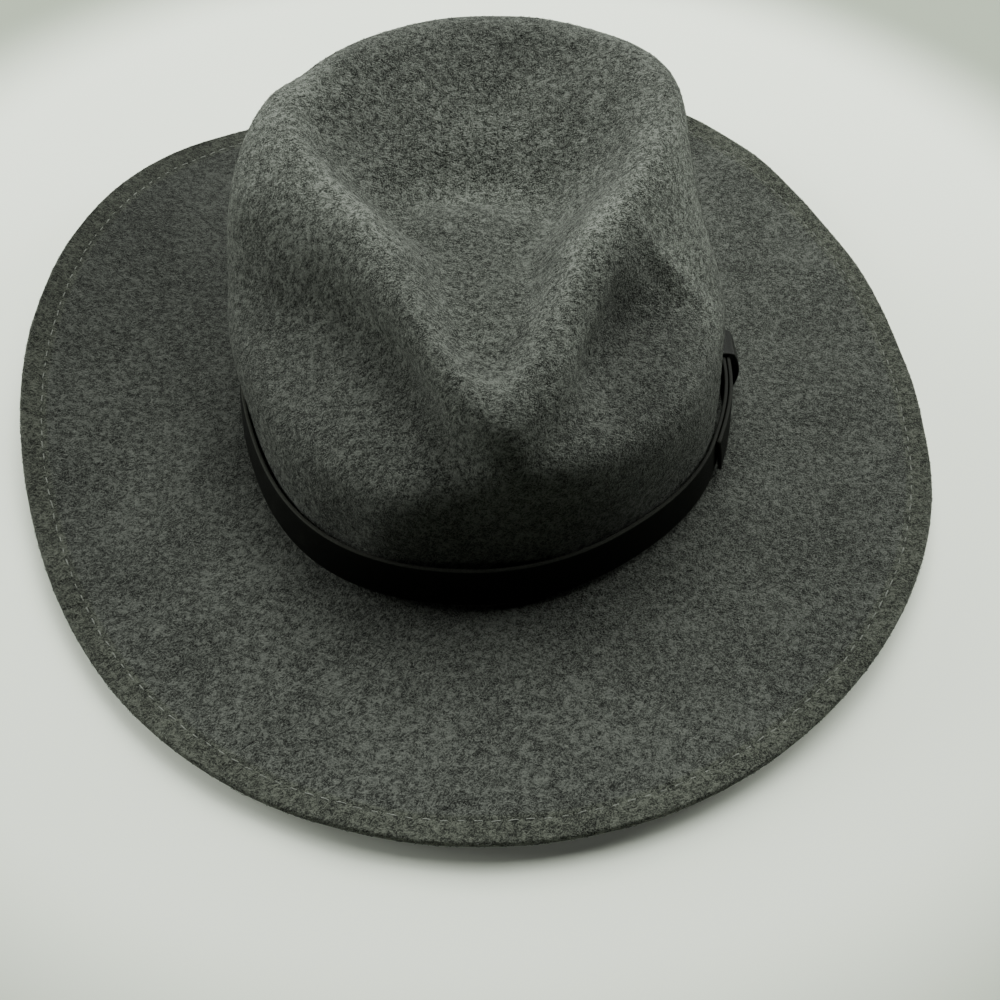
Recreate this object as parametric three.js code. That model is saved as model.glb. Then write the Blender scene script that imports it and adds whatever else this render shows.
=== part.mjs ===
// Rancher hat: a felt body with a pinched teardrop crown and a wide, gently waved brim,
// a black leather strap round the crown, and a leather keeper loop over the strap's ends.
// Millimetres, +Z up. The front of the hat faces -Y and the wearer's left is +X.
import * as THREE from 'three';

// Felt walls
const FELT_THICK = 2.2;
const HEM_THICK = 3.0;
const HEM_WIDTH = 8;
const HEM_STEP = 1.2;
const EDGE_ROUND = 0.8;

// The crown's foot is an oval, half as wide and half as long as these two
const FOOT_HALF_WIDTH = 87;
const FOOT_HALF_LENGTH = 102;
const BRIM_WIDTH = 82;
const BRIM_CURVE = 1.8;

// Heights up the crown
const BREAK_UP = 1.8;
const BREAK_FLARE = 2.6;
const FOOT_UP = 5;
const FOOT_FLARE = 0.6;
const STRAP_LINE_UP = 20.5;
const STRAP_LINE_TUCK = 1.6;

// The dent in the crown: its floor swells a little and tilts up to the front, and its wall hangs from a lip
// inside the crest
const DENT_UP = 72;
const DENT_SWELL = 1.5;
const DENT_TILT = 0.09;
const DENT_MIDDLE_SHARE = 0.3;
const DENT_WALL_SHARE = 0.45;
const DENT_WALL_SAG = 3;
const LIP_SHARE = 0.88;
const LIP_WIDTH = 3.5;
const LIP_DROP = 4;

// Leather strap and the loop that keeps its ends
const STRAP_THICK = 1.4;
const STRAP_LOW = 4.6;
const STRAP_HIGH = 21.4;
const STRAP_FLARE = 2.2;
const STRAP_OFF_FELT = 0.5;
const LAYER_GAP = 0.3;
const STRAP_FREE_END = -27;
const STRAP_OUTER_TO = 28;
const STRAP_INNER_FROM = 46;
const STRAP_HIDDEN_END = 18;
const STRAP_STEP = 4;
const STRAP_END_RUN = 16;
const STRAP_END_SLANT = 3;
const STRAP_END_LEAN = 0.6;
const KEEPER_AT = 3.3;
const KEEPER_WIDTH = 13;
const KEEPER_THICK = 1.3;
const KEEPER_BACK_THICK = 1.1;
const KEEPER_BACK_OFF_FELT = 1;
const KEEPER_ARCH = 2.4;
const KEEPER_LIFT = 2.3;
const KEEPER_LIFT_FULL = 8;
const KEEPER_LIFT_NONE = 30;

// Samples round the crown for each row of the crown table, and up between two of its rings
const AROUND_PER_ROW = 4;
const UP_PER_RING = 2;

// Crown, one row for each upright section, at its angle. Each pair is how far out and how high that line lies.
// The side pinches lie at 322 and 232, the peak at 274.
const CROWN = [
  { at: 274, belly: [96, 50], pinch: [93, 62], brow: [88, 75], crest: [78, 80], dent: 36 },
  { at: 288, belly: [95, 56], pinch: [86, 67], brow: [77, 79], crest: [64, 84], dent: 33 },
  { at: 304, belly: [92, 57], pinch: [69, 68], brow: [61, 80], crest: [51, 88], dent: 26 },
  { at: 322, belly: [88, 56], pinch: [60, 69], brow: [52, 84], crest: [43, 91], dent: 20 },
  { at: 342, belly: [85, 54], pinch: [68, 67], brow: [52, 85], crest: [43, 93], dent: 17 },
  { at: 360, belly: [85, 48], pinch: [78, 63], brow: [61, 85], crest: [49, 95], dent: 19 },
  { at: 380, belly: [86, 46], pinch: [83, 62], brow: [73, 86], crest: [62, 98], dent: 24 },
  { at: 404, belly: [90, 46], pinch: [88, 68], brow: [88, 93], crest: [80, 102], dent: 28 },
  { at: 426, belly: [95, 46], pinch: [92, 68], brow: [92, 94], crest: [84, 103], dent: 27 },
  { at: 450, belly: [98, 46], pinch: [95, 68], brow: [92, 94], crest: [84, 102], dent: 27 },
  { at: 474, belly: [97, 46], pinch: [94, 68], brow: [90, 92], crest: [82, 101], dent: 28 },
  { at: 498, belly: [92, 46], pinch: [90, 68], brow: [88, 91], crest: [78, 100], dent: 31 },
  { at: 520, belly: [89, 46], pinch: [88, 68], brow: [87, 89], crest: [74, 98], dent: 33 },
  { at: 538, belly: [89, 46], pinch: [87, 68], brow: [80, 84], crest: [58, 95], dent: 28 },
  { at: 554, belly: [89, 46], pinch: [77, 66], brow: [62, 84], crest: [47, 93], dent: 21 },
  { at: 572, belly: [88, 46], pinch: [64, 65], brow: [53, 84], crest: [43, 92], dent: 18 },
  { at: 592, belly: [89, 46], pinch: [58, 64], brow: [54, 82], crest: [45, 90], dent: 20 },
  { at: 612, belly: [95, 47], pinch: [64, 64], brow: [62, 79], crest: [57, 86], dent: 27 },
];

// Brim, one row every 30 degrees from the wearer's left: how high its edge rises, how far the edge and the
// crown's foot lie outside their ovals
const BRIM = [
  { edgeUp: 7, edgeOut: -2, footOut: 1 },
  { edgeUp: 11, edgeOut: -2, footOut: 0.5 },
  { edgeUp: 18, edgeOut: 1, footOut: 0.5 },
  { edgeUp: 6, edgeOut: 1, footOut: 0.5 },
  { edgeUp: 9, edgeOut: 1, footOut: 0.5 },
  { edgeUp: 22, edgeOut: 5, footOut: 0.5 },
  { edgeUp: 23, edgeOut: -1, footOut: 1 },
  { edgeUp: 11, edgeOut: -3.5, footOut: 0.5 },
  { edgeUp: 8, edgeOut: -0.5, footOut: 3 },
  { edgeUp: 9, edgeOut: 0.5, footOut: -1 },
  { edgeUp: 10, edgeOut: 1.5, footOut: -0.5 },
  { edgeUp: 13, edgeOut: 1, footOut: 4 },
];

// Where rings lie on the brim, in from its edge
const BRIM_INSETS = [64, 46, 30, 18, HEM_WIDTH + HEM_STEP, HEM_WIDTH, HEM_WIDTH / 2, EDGE_ROUND];

const radians = THREE.MathUtils.degToRad;
const lerp = THREE.MathUtils.lerp;

function between(a, b, c, d, t) {
  const slope = (c - a) * t;
  const bend = (2 * a - 5 * b + 4 * c - d) * t * t;
  const twist = (3 * b - a - 3 * c + d) * t * t * t;
  return 0.5 * (2 * b + slope + bend + twist);
}

function oval(angle, halfWidth, halfLength) {
  return 1 / Math.hypot(Math.cos(angle) / halfWidth, Math.sin(angle) / halfLength);
}

// A smooth closed reading of one number of a table whose rows lie evenly round the hat
function readRound(table, pick, place) {
  const count = table.length;
  const row = Math.floor(place);
  const value = (step) => pick(table[(row + step + count) % count]);
  return between(value(-1), value(0), value(1), value(2), place - row);
}

function readBrim(column, angle) {
  const turns = angle / (2 * Math.PI);
  return readRound(BRIM, (row) => row[column], (turns - Math.floor(turns)) * BRIM.length);
}

function footReach(angle) {
  return oval(angle, FOOT_HALF_WIDTH, FOOT_HALF_LENGTH) + readBrim('footOut', angle);
}

// The angle grows by a full turn each time round, so it is read apart from the other columns
function crownAngle(place) {
  const count = CROWN.length;
  const row = Math.floor(place);
  const value = (step) => {
    const index = row + step;
    const turn = Math.floor(index / count);
    return CROWN[index - turn * count].at + 360 * turn;
  };
  return radians(between(value(-1), value(0), value(1), value(2), place - row));
}

// The rings that one upright section passes through, from the brim's break to the middle of the dent
function crownRings(place) {
  const angle = crownAngle(place);
  const line = (column) => [0, 1].map((i) => readRound(CROWN, (row) => row[column][i], place));
  const foot = footReach(angle);
  const [crest, crestUp] = line('crest');
  const dent = readRound(CROWN, (row) => row.dent, place);
  const dentUp = DENT_UP - DENT_SWELL - DENT_TILT * dent * Math.sin(angle);
  const lip = LIP_SHARE * crest - LIP_WIDTH;
  return [
    [foot + BREAK_FLARE, BREAK_UP],
    [foot + FOOT_FLARE, FOOT_UP],
    [foot - STRAP_LINE_TUCK, STRAP_LINE_UP],
    line('belly'),
    line('pinch'),
    line('brow'),
    [crest, crestUp],
    [lip, crestUp - LIP_DROP],
    [lerp(dent, lip, DENT_WALL_SHARE), lerp(dentUp, crestUp, DENT_WALL_SHARE) - DENT_WALL_SAG],
    [dent, dentUp],
    [dent / 2, lerp(DENT_UP, dentUp, DENT_MIDDLE_SHARE)],
    [0, DENT_UP],
  ];
}

function readRings(rings, place) {
  const last = rings.length - 1;
  const ring = Math.min(Math.floor(place), last - 1);
  const beyond = (end, inner) => rings[end].map((value, i) => 2 * value - rings[inner][i]);
  const before = ring > 0 ? rings[ring - 1] : beyond(0, 1);
  const after = ring + 2 <= last ? rings[ring + 2] : beyond(last, last - 1);
  const t = place - ring;
  return rings[ring].map((value, i) => between(before[i], value, rings[ring + 1][i], after[i], t));
}

function around(angle, reach, up) {
  return new THREE.Vector3(reach * Math.cos(angle), reach * Math.sin(angle), up);
}

function edgeReach(angle) {
  const halfWidth = FOOT_HALF_WIDTH + BRIM_WIDTH;
  const halfLength = FOOT_HALF_LENGTH + BRIM_WIDTH;
  return oval(angle, halfWidth, halfLength) + readBrim('edgeOut', angle);
}

function brimPoint(angle, inset) {
  const inner = footReach(angle) + BREAK_FLARE;
  const outer = edgeReach(angle);
  const out = (outer - inset - inner) / (outer - inner);
  const up = BREAK_UP + (readBrim('edgeUp', angle) - BREAK_UP) * out ** BRIM_CURVE;
  return around(angle, outer - inset, up);
}

// The felt's outer face, as rings from near the middle of the dent out to the brim's edge
function feltFace(columns) {
  const places = Array.from({ length: columns }, (_, i) => i / AROUND_PER_ROW);
  const sections = places.map((place) => ({ angle: crownAngle(place), rings: crownRings(place) }));
  const ringCount = sections[0].rings.length - 1;
  const face = [];
  for (let step = ringCount * UP_PER_RING - 1; step >= 0; step -= 1) {
    face.push(sections.map(({ angle, rings }) => around(angle, ...readRings(rings, step / UP_PER_RING))));
  }
  for (const inset of BRIM_INSETS) {
    face.push(sections.map(({ angle }) => brimPoint(angle, inset)));
  }
  return face;
}

function faceNormal(face, row, column) {
  const columns = face[row].length;
  const inner = face[Math.max(row - 1, 0)][column];
  const outer = face[Math.min(row + 1, face.length - 1)][column];
  const ahead = face[row][(column + 1) % columns];
  const behind = face[row][(column + columns - 1) % columns];
  const outward = outer.clone().sub(inner);
  return outward.cross(ahead.clone().sub(behind)).normalize();
}

// The inner face lies one felt thickness behind, two where the hem is turned under, and never below the table
function feltLining(face) {
  const firstHemRow = face.length - BRIM_INSETS.filter((inset) => inset <= HEM_WIDTH).length;
  return face.map((ring, row) => ring.map((point, column) => {
    const thick = row >= firstHemRow ? HEM_THICK : FELT_THICK;
    const inner = point.clone().addScaledVector(faceNormal(face, row, column), -thick);
    inner.z = Math.max(inner.z, 0);
    return inner;
  }));
}

function shellGeometry(rings, firstPole, lastPole) {
  const columns = rings[0].length;
  const points = [firstPole, ...rings.flat(), lastPole];
  const lastIndex = points.length - 1;
  const at = (row, column) => 1 + row * columns + (column % columns);
  const triangles = [];
  for (let column = 0; column < columns; column += 1) {
    triangles.push(0, at(0, column), at(0, column + 1));
    triangles.push(lastIndex, at(rings.length - 1, column + 1), at(rings.length - 1, column));
    for (let row = 0; row < rings.length - 1; row += 1) {
      triangles.push(at(row, column), at(row + 1, column), at(row + 1, column + 1));
      triangles.push(at(row, column), at(row + 1, column + 1), at(row, column + 1));
    }
  }
  const geometry = new THREE.BufferGeometry().setFromPoints(points);
  geometry.setIndex(triangles);
  return geometry;
}

function makeFelt() {
  const face = feltFace(CROWN.length * AROUND_PER_ROW);
  const lining = feltLining(face);
  const top = face[face.length - 1];
  const bottom = lining[lining.length - 1];
  const edge = top.map((point, column) => {
    const middle = point.clone().add(bottom[column]).multiplyScalar(0.5);
    const angle = Math.atan2(point.y, point.x);
    return around(angle, edgeReach(angle), middle.z);
  });
  const rings = [...face, edge, ...lining.slice().reverse()];
  const topPole = new THREE.Vector3(0, 0, DENT_UP);
  const lowPole = new THREE.Vector3(0, 0, DENT_UP - FELT_THICK);
  return shellGeometry(rings, topPole, lowPole);
}

// How far the strap stands off the crown's foot where the keeper passes behind it
function keeperLift(degrees) {
  const away = Math.abs(THREE.MathUtils.euclideanModulo(degrees - KEEPER_AT + 180, 360) - 180);
  return KEEPER_LIFT * (1 - THREE.MathUtils.smoothstep(away, KEEPER_LIFT_FULL, KEEPER_LIFT_NONE));
}

// The strap's inner face along its run, from its free end over the keeper's place and once round
function strapReach(degrees) {
  const outerLayer = 1 - THREE.MathUtils.smoothstep(degrees, STRAP_OUTER_TO, STRAP_INNER_FROM);
  const layerOut = (STRAP_THICK + LAYER_GAP) * outerLayer;
  return footReach(radians(degrees)) + STRAP_OFF_FELT + keeperLift(degrees) + layerOut;
}

// The strap lies on the curve of the crown's foot, so its lower edge stands further out than its upper edge
function strapLean(up) {
  return STRAP_FLARE * ((STRAP_LOW + STRAP_HIGH) / 2 - up) / (STRAP_HIGH - STRAP_LOW);
}

// The strap's cross-section at one place, as low inner, low outer, high outer and high inner corners.
// The free end is cut at a slant, and its low corner leans away from the crown.
function strapSection(degrees) {
  const nearEnd = Math.max(0, 1 - (degrees - STRAP_FREE_END) / STRAP_END_RUN);
  const reach = strapReach(degrees) + strapLean(STRAP_HIGH);
  const slant = THREE.MathUtils.radToDeg(STRAP_END_SLANT / reach) * nearEnd;
  const lean = STRAP_END_LEAN * nearEnd;
  const low = radians(degrees + slant);
  const high = radians(degrees);
  const lowReach = strapReach(degrees + slant) + strapLean(STRAP_LOW) + lean;
  return [
    around(low, lowReach, STRAP_LOW),
    around(low, lowReach + STRAP_THICK, STRAP_LOW),
    around(high, reach + STRAP_THICK, STRAP_HIGH),
    around(high, reach, STRAP_HIGH),
  ];
}

function makeStrap() {
  const hiddenEnd = 360 + STRAP_HIDDEN_END;
  const steps = Math.ceil((hiddenEnd - STRAP_FREE_END) / STRAP_STEP);
  const corners = 4;
  const points = [];
  const triangles = [];
  for (let step = 0; step <= steps; step += 1) {
    const degrees = lerp(STRAP_FREE_END, hiddenEnd, step / steps);
    points.push(...strapSection(degrees));
  }
  for (let step = 0; step < steps; step += 1) {
    for (let corner = 0; corner < corners; corner += 1) {
      const here = step * corners + corner;
      const beside = step * corners + ((corner + 1) % corners);
      triangles.push(here, beside + corners, beside);
      triangles.push(here, here + corners, beside + corners);
    }
  }
  const end = steps * corners;
  triangles.push(0, 1, 2, 0, 2, 3);
  triangles.push(end, end + 2, end + 1, end, end + 3, end + 2);
  const geometry = new THREE.BufferGeometry().setFromPoints(points);
  geometry.setIndex(triangles);
  return geometry;
}

// The keeper's outline across the strap: flat behind it, arched in front
function keeperOutline(path, back, front, low, high, arch) {
  path.moveTo(back + strapLean(low), low);
  path.lineTo(front + strapLean(low), low);
  path.quadraticCurveTo(front + arch * 2, (low + high) / 2, front + strapLean(high), high);
  path.lineTo(back + strapLean(high), high);
  path.closePath();
  return path;
}

function makeKeeper() {
  const back = footReach(0) + KEEPER_BACK_OFF_FELT;
  const insideBack = back + KEEPER_BACK_THICK;
  const insideFront = strapReach(0) + STRAP_THICK + LAYER_GAP;
  const insideLow = STRAP_LOW - LAYER_GAP;
  const insideHigh = STRAP_HIGH + LAYER_GAP;
  const outline = keeperOutline(new THREE.Shape(), back, insideFront + KEEPER_THICK,
    insideLow - KEEPER_THICK, insideHigh + KEEPER_THICK, KEEPER_ARCH);
  outline.holes.push(keeperOutline(new THREE.Path(), insideBack, insideFront,
    insideLow, insideHigh, KEEPER_ARCH));
  const options = { depth: KEEPER_WIDTH, bevelEnabled: false, curveSegments: 8 };
  const geometry = new THREE.ExtrudeGeometry(outline, options);
  return geometry.rotateX(Math.PI / 2).translate(0, KEEPER_WIDTH / 2, 0).rotateZ(radians(KEEPER_AT));
}

const felt = new THREE.Mesh(makeFelt(), new THREE.MeshStandardMaterial({
  color: 0x4e514a, roughness: 0.95, metalness: 0,
}));
felt.name = 'felt_body';

const strap = new THREE.Mesh(makeStrap(), new THREE.MeshStandardMaterial({
  color: 0x0e0f0b, roughness: 0.55, metalness: 0,
}));
strap.name = 'hatband';

const keeper = new THREE.Mesh(makeKeeper(), new THREE.MeshStandardMaterial({
  color: 0x0b0c08, roughness: 0.5, metalness: 0,
}));
keeper.name = 'band_keeper';

// The brim's box is centred on the origin
const box = new THREE.Box3().setFromBufferAttribute(felt.geometry.getAttribute('position'));
const middle = box.getCenter(new THREE.Vector3());
const hat = new THREE.Group();
hat.add(felt, strap, keeper);
hat.position.set(-middle.x, -middle.y, 0);

export default hat;
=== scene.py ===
"""Rancher hat: dark grey heather wool felt with a pinched crown, a waved brim with a stitched hem,
and a black leather strap whose end runs through a keeper loop.

The frame is in metres with +Z up. The front of the hat faces -Y and the wearer's left is +X."""
import math

import bpy
import numpy as np
from mathutils import Matrix, Vector
from mathutils.bvhtree import BVHTree


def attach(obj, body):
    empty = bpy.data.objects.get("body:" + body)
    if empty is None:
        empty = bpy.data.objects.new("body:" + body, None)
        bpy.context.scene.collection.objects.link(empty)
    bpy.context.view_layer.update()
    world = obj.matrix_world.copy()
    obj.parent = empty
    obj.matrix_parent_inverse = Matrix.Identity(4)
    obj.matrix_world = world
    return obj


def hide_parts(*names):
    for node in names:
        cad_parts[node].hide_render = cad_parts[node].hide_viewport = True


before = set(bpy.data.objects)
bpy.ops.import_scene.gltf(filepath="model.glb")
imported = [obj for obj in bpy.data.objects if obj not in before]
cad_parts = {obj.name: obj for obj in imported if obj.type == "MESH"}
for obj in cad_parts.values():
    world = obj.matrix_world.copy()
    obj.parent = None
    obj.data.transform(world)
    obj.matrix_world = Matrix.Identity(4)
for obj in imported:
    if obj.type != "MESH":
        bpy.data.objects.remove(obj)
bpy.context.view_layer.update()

# Camera, floor and light. The hat is seen from above its front, with the picture slightly rolled.
# Wide soft panels stand behind the hat and at its sides, so the crown's front lies in shade. The pale sheet
# under it carries a painted pool of light: it is painted brightest near the hat. It also has a faint glow,
# a painted fill light that lifts the shade under the brim.
CAMERA_PLACE = (0.0104, -0.2887, 0.3099)
CAMERA_DOWN = math.radians(53.2)
CAMERA_ROLL = math.radians(2.5)
CAMERA_LENS = 38.9
CAMERA_NEAR = 0.01
FLOOR_SIDE = 6.0
FLOOR_COLOR = (0.28, 0.32, 0.25, 1.0)
# Painted light: the sheet's colour near the hat, and the distances over which it fades to the far colour, a
# painted pool of light
FLOOR_LIGHT_POOL_COLOR = (0.93, 0.98, 0.87, 1.0)
FLOOR_LIGHT_POOL_FADE = (0.25, 0.33)
FLOOR_MIDDLE_BACK = 0.04
# Painted light: a faint glow of the sheet, standing in for fill light under the brim
FLOOR_GLOW = 0.06
FLOOR_ROUGHNESS = 0.9
PANEL_COLOR = (0.96, 1.0, 0.94)
PANEL_SIDE = 0.55
PANEL_DISTANCE = 1.1
# The colour sockets of a Mix node: two go in and one comes out
MIX_A, MIX_B, MIX_OUT = 6, 7, 2
# Each row: name, degrees round from the wearer's left, degrees up, power
PANELS = (
    ("panel_right_side", 180, 20, 5.2),
    ("panel_right_back", 160, 20, 8.5),
    ("panel_back", 90, 55, 10.0),
    ("panel_back_high", 90, 75, 5.2),
    ("panel_left_high", 45, 60, 5.4),
    ("panel_left_back", 25, 25, 7.5),
)

camera_data = bpy.data.cameras.new("camera")
camera_data.lens = CAMERA_LENS
camera_data.clip_start = CAMERA_NEAR
camera = bpy.data.objects.new("camera", camera_data)
bpy.context.scene.collection.objects.link(camera)
camera_turn = Matrix.Rotation(math.pi / 2 - CAMERA_DOWN, 4, "X") @ Matrix.Rotation(CAMERA_ROLL, 4, "Z")
camera.matrix_world = Matrix.Translation(CAMERA_PLACE) @ camera_turn
bpy.context.scene.camera = camera

for panel_name, panel_round, panel_up, panel_power in PANELS:
    panel_data = bpy.data.lights.new(panel_name, "AREA")
    panel_data.shape = "SQUARE"
    panel_data.size = PANEL_SIDE
    panel_data.energy = panel_power
    panel_data.color = PANEL_COLOR
    panel = bpy.data.objects.new(panel_name, panel_data)
    toward = Vector((1.0, 0.0, 0.0))
    toward.rotate(Matrix.Rotation(math.radians(-panel_up), 3, "Y"))
    toward.rotate(Matrix.Rotation(math.radians(panel_round), 3, "Z"))
    panel.location = toward * PANEL_DISTANCE
    panel.rotation_euler = (-toward).to_track_quat("-Z", "Y").to_euler()
    bpy.context.scene.collection.objects.link(panel)

bpy.ops.mesh.primitive_plane_add(size=FLOOR_SIDE, location=(0, FLOOR_MIDDLE_BACK, 0))
floor = bpy.context.object
floor.name = "floor"
floor_paint = bpy.data.materials.new("floor_paint")
floor_paint.use_nodes = True
floor_shader = floor_paint.node_tree.nodes["Principled BSDF"]
floor_shader.inputs["Roughness"].default_value = FLOOR_ROUGHNESS
# Painted light: the sheet glows faintly in its pale colour, a painted fill light under the brim
floor_shader.inputs["Emission Color"].default_value = FLOOR_LIGHT_POOL_COLOR
floor_shader.inputs["Emission Strength"].default_value = FLOOR_GLOW
floor_nodes, floor_links = floor_paint.node_tree.nodes, floor_paint.node_tree.links
floor_where = floor_nodes.new("ShaderNodeTexCoord")
floor_far = floor_nodes.new("ShaderNodeVectorMath")
floor_far.operation = "LENGTH"
# Painted pool of light: the sheet is painted brightest near the hat and fades with distance to the far colour
floor_light_falloff = floor_nodes.new("ShaderNodeMapRange")
floor_light_falloff.interpolation_type = "SMOOTHSTEP"
floor_light_falloff.inputs["From Min"].default_value, floor_light_falloff.inputs["From Max"].default_value = FLOOR_LIGHT_POOL_FADE
floor_painted_light = floor_nodes.new("ShaderNodeMix")
floor_painted_light.data_type = "RGBA"
floor_painted_light.inputs[MIX_A].default_value = FLOOR_LIGHT_POOL_COLOR
floor_painted_light.inputs[MIX_B].default_value = FLOOR_COLOR
floor_links.new(floor_where.outputs["Object"], floor_far.inputs[0])
floor_links.new(floor_far.outputs["Value"], floor_light_falloff.inputs["Value"])
floor_links.new(floor_light_falloff.outputs["Result"], floor_painted_light.inputs["Factor"])
floor_links.new(floor_painted_light.outputs[MIX_OUT], floor_shader.inputs["Base Color"])
floor.data.materials.append(floor_paint)

# Felt body: one capeline of wool felt, steamed over a block, creased into a teardrop with two side
# pinches, and cut to a wide brim. The brim's edge is turned under once and sewn down as a hem.
MM = 0.001
PLAN_SHIFT = (0.93, -0.28, 0.0)
FELT_THICK = 2.2
HEM_THICK = 3.0
HEM_WIDTH = 8.0
HEM_STEP = 1.2
EDGE_ROUND = 0.8
EDGE_STEPS = 6
FOOT_OVAL = (87, 102)
BRIM_OVAL = (169, 184)
BRIM_CURVE = 1.8
BREAK_UP = 1.8
BREAK_FLARE = 2.6
FOOT_UP = 5.0
FOOT_FLARE = 0.6
STRAP_LINE_UP = 20.5
STRAP_LINE_TUCK = 1.6
DENT_UP = 72.0
DENT_SWELL = 1.5
DENT_TILT = 0.09
DENT_MIDDLE_SHARE = 0.3
DENT_WALL_SHARE = 0.45
DENT_WALL_SAG = 3.0
LIP_SHARE = 0.88
LIP_WIDTH = 3.5
LIP_DROP = 4.0
STITCH_LINE = 7.0
STITCH_GROOVE = 0.20
STITCH_GROOVE_WIDTH = 0.9
FELT_COLUMNS = 288
CROWN_STEPS = 12
BRIM_ROWS = 44
HEM_ROWS = 26
HEM_FINE = 11.0
WAVE_COUNT = 16
WAVE_LENGTHS = (26.0, 90.0)
WAVE_HEIGHT = 0.11
ROOT_CALM = 8.0
FELT_SEED = 7
# Where handling has pushed the felt in or out. Each row: ring and its spread, angle and its spread,
# and millimetres outward
PUSHED = (
    (2.3, 0.7, 254, 6, 1.6),
    (3.4, 0.6, 260, 5, 1.6),
    (4.4, 0.5, 266, 5, 1.0),
    (2.8, 0.9, 273, 8, -1.5),
    (4.3, 0.9, 346, 4, 2.0),
    (4.2, 0.8, 304, 9, -2.0),
    (4.6, 0.5, 322, 8, -1.0),
    (7.35, 0.14, 271, 9, -0.7),
    (5.7, 0.5, 152, 4, 0.9),
    (5.6, 0.7, 142, 4, -0.6),
    (7.1, 0.6, 151, 14, -2.6),
    (7.1, 0.5, 75, 18, -2.0),
    (8.0, 0.6, 107, 18, 1.4),
)
# Painted light: the crown's top rings are painted paler, where the light from above falls on them
TOP_PAINTED_LIGHT = 0.3
TOP_PAINTED_LIGHT_RINGS = (4, 6)
LINING_STEP = 2
# Painted light and shade: spots where the felt is painted paler on ridges and rims that catch the light, and
# darker in the dent's hollows, on the shaded front and where the crown shades the brim. Each row: ring and
# its spread, angle and its spread, and how much paler. Ring 0 is the whole brim.
PAINTED_LIGHT_SPOTS = (
    (6.2, 0.8, 200, 40, 0.65),
    (6.2, 0.8, 345, 42, 0.95),
    (5.6, 1.2, 158, 24, 0.50),
    (4.6, 1.2, 18, 22, 0.60),
    (4.3, 0.7, 352, 6, 0.45),
    (8.2, 1.6, 90, 60, 0.66),
    (7.5, 0.5, 146, 14, -0.32),
    (7.15, 0.5, 84, 32, -0.28),
    (6.8, 0.8, 274, 10, -0.20),
    (4.0, 0.7, 320, 12, -0.22),
    (3.0, 0.6, 308, 12, -0.20),
    (3.6, 0.9, 346, 6, 0.55),
    (8.95, 0.4, 95, 60, 0.35),
    (8.0, 1.2, 265, 32, 0.22),
    (6.3, 0.7, 90, 40, -0.22),
    (4.6, 0.8, 325, 16, -0.15),
    (0.0, 0.6, 143, 34, -0.35),
    (0.0, 0.6, 270, 400, -0.10),
    (0.0, 0.6, 28, 26, 0.14),
)

# Each row: at, belly, belly_up, pinch, pinch_up, brow, brow_up, crest, crest_up, dent
CROWN = np.array([
    (274, 96, 50, 93, 62, 88, 75, 78, 80, 36),
    (288, 95, 56, 86, 67, 77, 79, 64, 84, 33),
    (304, 92, 57, 69, 68, 61, 80, 51, 88, 26),
    (322, 88, 56, 60, 69, 52, 84, 43, 91, 20),
    (342, 85, 54, 68, 67, 52, 85, 43, 93, 17),
    (360, 85, 48, 78, 63, 61, 85, 49, 95, 19),
    (380, 86, 46, 83, 62, 73, 86, 62, 98, 24),
    (404, 90, 46, 88, 68, 88, 93, 80, 102, 28),
    (426, 95, 46, 92, 68, 92, 94, 84, 103, 27),
    (450, 98, 46, 95, 68, 92, 94, 84, 102, 27),
    (474, 97, 46, 94, 68, 90, 92, 82, 101, 28),
    (498, 92, 46, 90, 68, 88, 91, 78, 100, 31),
    (520, 89, 46, 88, 68, 87, 89, 74, 98, 33),
    (538, 89, 46, 87, 68, 80, 84, 58, 95, 28),
    (554, 89, 46, 77, 66, 62, 84, 47, 93, 21),
    (572, 88, 46, 64, 65, 53, 84, 43, 92, 18),
    (592, 89, 46, 58, 64, 54, 82, 45, 90, 20),
    (612, 95, 47, 64, 64, 62, 79, 57, 86, 27),
], float)
# Each row, every 30 degrees from the wearer's left: edge_up, edge_out, foot_out
BRIM = np.array([
    (7, -2, 1), (11, -2, 0.5), (18, 1, 0.5), (6, 1, 0.5), (9, 1, 0.5), (22, 5, 0.5),
    (23, -1, 1), (11, -3.5, 0.5), (8, -0.5, 3), (9, 0.5, -1), (10, 1.5, -0.5), (13, 1, 4),
], float)


def between(a, b, c, d, t):
    """The smooth curve that passes through b and c, at share t between them."""
    bent = 2 * a - 5 * b + 4 * c - d
    twisted = 3 * b - a - 3 * c + d
    return 0.5 * (2 * b + (c - a) * t + bent * t ** 2 + twisted * t ** 3)


def read_round(table, row_place):
    """Reads a table whose rows lie evenly round the hat, at fractional row places."""
    row = np.floor(row_place).astype(int)
    share = (row_place - row)[:, None]
    rows = [table[(row + step) % len(table)] for step in (-1, 0, 1, 2)]
    return between(*rows, share)


def read_brim(angle):
    """edge_up, edge_out and foot_out at angles round the hat."""
    turns = angle / (2 * math.pi)
    return read_round(BRIM, (turns - np.floor(turns)) * len(BRIM)).T


def oval_reach(angle, oval):
    return 1 / np.hypot(np.cos(angle) / oval[0], np.sin(angle) / oval[1])


def foot_reach(angle):
    return oval_reach(angle, FOOT_OVAL) + read_brim(angle)[2]


def edge_reach(angle):
    return oval_reach(angle, BRIM_OVAL) + read_brim(angle)[1]


def crown_angle(row_place):
    """The angle of each crown section; it grows by a full turn every time round."""
    row = np.floor(row_place).astype(int)
    angles = []
    for step in (-1, 0, 1, 2):
        turn, index = np.divmod(row + step, len(CROWN))
        angles.append(CROWN[index, 0] + 360 * turn)
    return np.radians(between(*angles, row_place - row))


def mix(a, b, share):
    return a + (b - a) * share


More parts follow.
